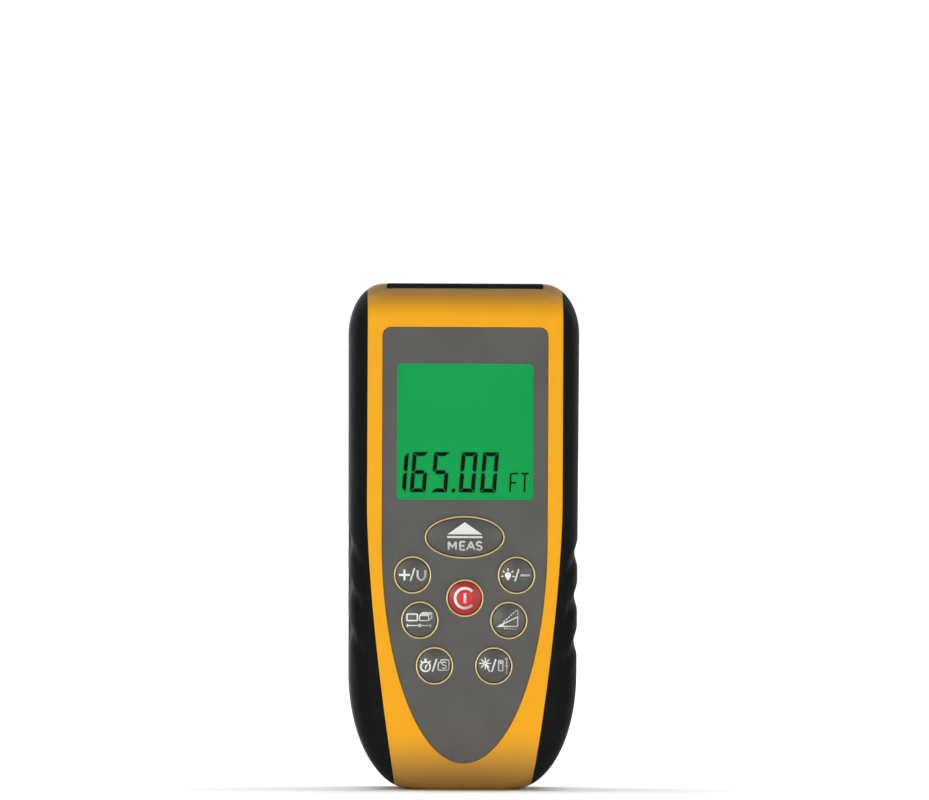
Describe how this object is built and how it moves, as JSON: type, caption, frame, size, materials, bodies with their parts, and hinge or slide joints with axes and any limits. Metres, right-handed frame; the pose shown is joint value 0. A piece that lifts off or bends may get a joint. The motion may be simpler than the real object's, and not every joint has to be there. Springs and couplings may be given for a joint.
{
  "type": "laser distance meter",
  "caption": "Hand-held laser distance meter with a lit display, eight sprung keys, soft side grips, a hinged battery door and a tripod thread.",
  "frame": {"origin": "middle of the flat foot, which is the rear reference face", "axes": "+Z along the body towards the end the laser leaves, front with the keys towards -Y, +X to the right as seen from the front"},
  "size_m": [0.0534, 0.028, 0.118],
  "materials": {
    "yellow_abs": "satin moulded plastic",
    "black_abs": "fine textured moulded plastic",
    "grip_rubber": "soft satin over-moulded rubber",
    "grey_abs": "fine textured satin plastic",
    "clear_acrylic": "polished clear plastic",
    "lcd_glass": "green lit liquid crystal cell",
    "diffuser": "milky diffuser",
    "ivory_abs": "plain moulded plastic",
    "polyimide": "amber film",
    "key_plastic": "glossy domed caps",
    "red_key_plastic": "glossy red domed cap",
    "gold_trim": "pale gold plated trim",
    "silicone": "translucent silicone",
    "silicone_black": "black silicone",
    "circuit_board": "green solder mask",
    "chip_epoxy": "moulded epoxy",
    "cast_aluminium": "bead blasted casting",
    "brass": "turned brass",
    "lens_glass": "coated optical glass",
    "filter_glass": "dark red optical filter",
    "black_gloss": "blue-black gloss plastic",
    "spring_steel": "nickel plated steel",
    "foil_label": "blank satin foil",
    "cell_sleeve": "shrink sleeve over a steel can"
  },
  "bodies": {
    "housing": {"front_housing": "yellow_abs", "rear_housing": "black_abs", "left_grip": "grip_rubber", "right_grip": "grip_rubber", "face_panel": "grey_abs", "display_window": "clear_acrylic", "lcd_module": "lcd_glass", "backlight_panel": "diffuser", "lcd_holder": "ivory_abs", "lcd_flex": "polyimide", "key_trim_rings": "gold_trim", "keypad_mat": "silicone", "dome_switches": "spring_steel", "main_board": "circuit_board", "main_chips": "chip_epoxy", "board_screws": "spring_steel", "buzzer": "chip_epoxy", "optics_chassis": "cast_aluminium", "laser_module": "brass", "laser_lens": "lens_glass", "receiver_lens": "lens_glass", "detector": "spring_steel", "detector_board": "circuit_board", "end_plate": "black_gloss", "end_plate_seal": "silicone_black", "laser_window": "lens_glass", "receiver_window": "filter_glass", "case_gasket": "silicone_black", "case_screws": "spring_steel", "tripod_bush": "brass", "rear_label": "foil_label", "battery_left": "cell_sleeve", "battery_right": "cell_sleeve", "contact_springs": "spring_steel", "contact_plates": "spring_steel"},
    "power_key": {"power_key": "red_key_plastic"},
    "plus_units_key": {"plus_units_key": "key_plastic"},
    "light_minus_key": {"light_minus_key": "key_plastic"},
    "area_volume_key": {"area_volume_key": "key_plastic"},
    "indirect_key": {"indirect_key": "key_plastic"},
    "timer_store_key": {"timer_store_key": "key_plastic"},
    "laser_reference_key": {"laser_reference_key": "key_plastic"},
    "measure_key": {"measure_key": "key_plastic"},
    "battery_door": {"battery_door": "black_abs"},
    "door_latch": {"door_latch": "black_abs"}
  },
  "joints": [
    {"name": "power_key_press", "type": "slide", "parent": "housing", "child": "power_key", "axis": [0, 1, 0], "range_m": [0, 0.0006], "stiffness_N_per_m": 300, "springref_m": -0.0005},
    {"name": "plus_units_key_press", "type": "slide", "parent": "housing", "child": "plus_units_key", "axis": [0, 1, 0], "range_m": [0, 0.0006], "stiffness_N_per_m": 300, "springref_m": -0.0005},
    {"name": "light_minus_key_press", "type": "slide", "parent": "housing", "child": "light_minus_key", "axis": [0, 1, 0], "range_m": [0, 0.0006], "stiffness_N_per_m": 300, "springref_m": -0.0005},
    {"name": "area_volume_key_press", "type": "slide", "parent": "housing", "child": "area_volume_key", "axis": [0, 1, 0], "range_m": [0, 0.0006], "stiffness_N_per_m": 300, "springref_m": -0.0005},
    {"name": "indirect_key_press", "type": "slide", "parent": "housing", "child": "indirect_key", "axis": [0, 1, 0], "range_m": [0, 0.0006], "stiffness_N_per_m": 300, "springref_m": -0.0005},
    {"name": "timer_store_key_press", "type": "slide", "parent": "housing", "child": "timer_store_key", "axis": [0, 1, 0], "range_m": [0, 0.0006], "stiffness_N_per_m": 300, "springref_m": -0.0005},
    {"name": "laser_reference_key_press", "type": "slide", "parent": "housing", "child": "laser_reference_key", "axis": [0, 1, 0], "range_m": [0, 0.0006], "stiffness_N_per_m": 300, "springref_m": -0.0005},
    {"name": "measure_key_press", "type": "slide", "parent": "housing", "child": "measure_key", "axis": [0, 1, 0], "range_m": [0, 0.0006], "stiffness_N_per_m": 300, "springref_m": -0.0005},
    {"name": "battery_door_hinge", "type": "hinge", "parent": "housing", "child": "battery_door", "pos_m": [0, 0.0129, 0.014], "axis": [-1, 0, 0], "range_deg": [0, 85]},
    {"name": "door_latch_flex", "type": "hinge", "parent": "battery_door", "child": "door_latch", "pos_m": [0, 0.0132, 0.0652], "axis": [1, 0, 0], "range_deg": [0, 8], "stiffness_Nm_per_rad": 0.01}
  ]
}
